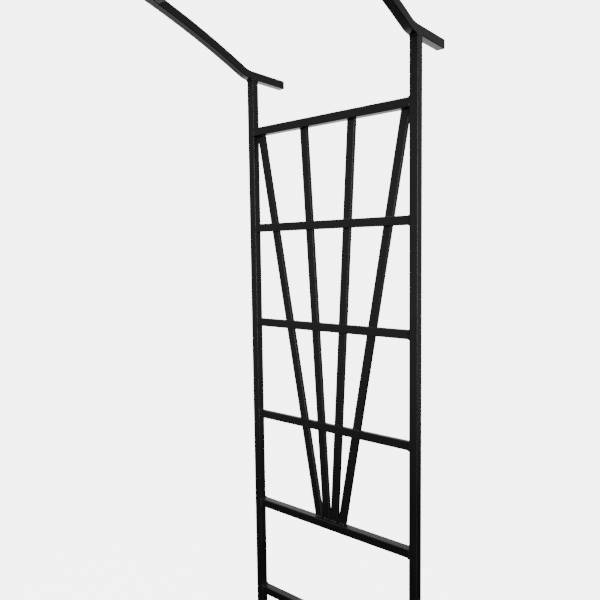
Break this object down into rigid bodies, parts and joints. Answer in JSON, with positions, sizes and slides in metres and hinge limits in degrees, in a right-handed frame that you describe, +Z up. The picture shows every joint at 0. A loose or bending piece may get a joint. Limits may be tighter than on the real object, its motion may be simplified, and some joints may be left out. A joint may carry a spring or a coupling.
{
  "type": "garden trellis arch",
  "caption": "Wide walk-through garden arch in square steel tube: two ladder side panels with fanned bars, and a shallow curved roof with overhanging ends.",
  "frame": {"origin": "on the ground, midway between the two side panels and midway along the path under the arch", "axes": "+X across the opening towards the right-hand panel, +Y along the path from front to rear, +Z up"},
  "size_m": [2.4384, 0.6096, 2.3749],
  "materials": {
    "powder_coated_steel": "satin black powder coat with a fine orange peel",
    "plug_plastic": "matte black moulded plastic"
  },
  "bodies": {
    "root": {"left_front_post": "powder_coated_steel", "left_rear_post": "powder_coated_steel", "left_top_rail": "powder_coated_steel", "left_slim_rung_1": "powder_coated_steel", "left_slim_rung_2": "powder_coated_steel", "left_slim_rung_3": "powder_coated_steel", "left_fan_foot_rail": "powder_coated_steel", "left_lower_rung_1": "powder_coated_steel", "left_lower_rung_2": "powder_coated_steel", "left_fan_bar_1": "powder_coated_steel", "left_fan_bar_2": "powder_coated_steel", "left_fan_bar_3": "powder_coated_steel", "left_fan_bar_4": "powder_coated_steel", "right_front_post": "powder_coated_steel", "right_rear_post": "powder_coated_steel", "right_top_rail": "powder_coated_steel", "right_slim_rung_1": "powder_coated_steel", "right_slim_rung_2": "powder_coated_steel", "right_slim_rung_3": "powder_coated_steel", "right_fan_foot_rail": "powder_coated_steel", "right_lower_rung_1": "powder_coated_steel", "right_lower_rung_2": "powder_coated_steel", "right_fan_bar_1": "powder_coated_steel", "right_fan_bar_2": "powder_coated_steel", "right_fan_bar_3": "powder_coated_steel", "right_fan_bar_4": "powder_coated_steel", "front_arch_bar": "powder_coated_steel", "rear_arch_bar": "powder_coated_steel", "roof_rung_1": "powder_coated_steel", "roof_rung_2": "powder_coated_steel", "roof_rung_3": "powder_coated_steel", "roof_rung_4": "powder_coated_steel", "roof_rung_5": "powder_coated_steel", "left_front_foot_plug": "plug_plastic", "left_front_arch_end_plug": "plug_plastic", "left_rear_foot_plug": "plug_plastic", "left_rear_arch_end_plug": "plug_plastic", "right_front_foot_plug": "plug_plastic", "right_front_arch_end_plug": "plug_plastic", "right_rear_foot_plug": "plug_plastic", "right_rear_arch_end_plug": "plug_plastic"}
  },
  "joints": []
}
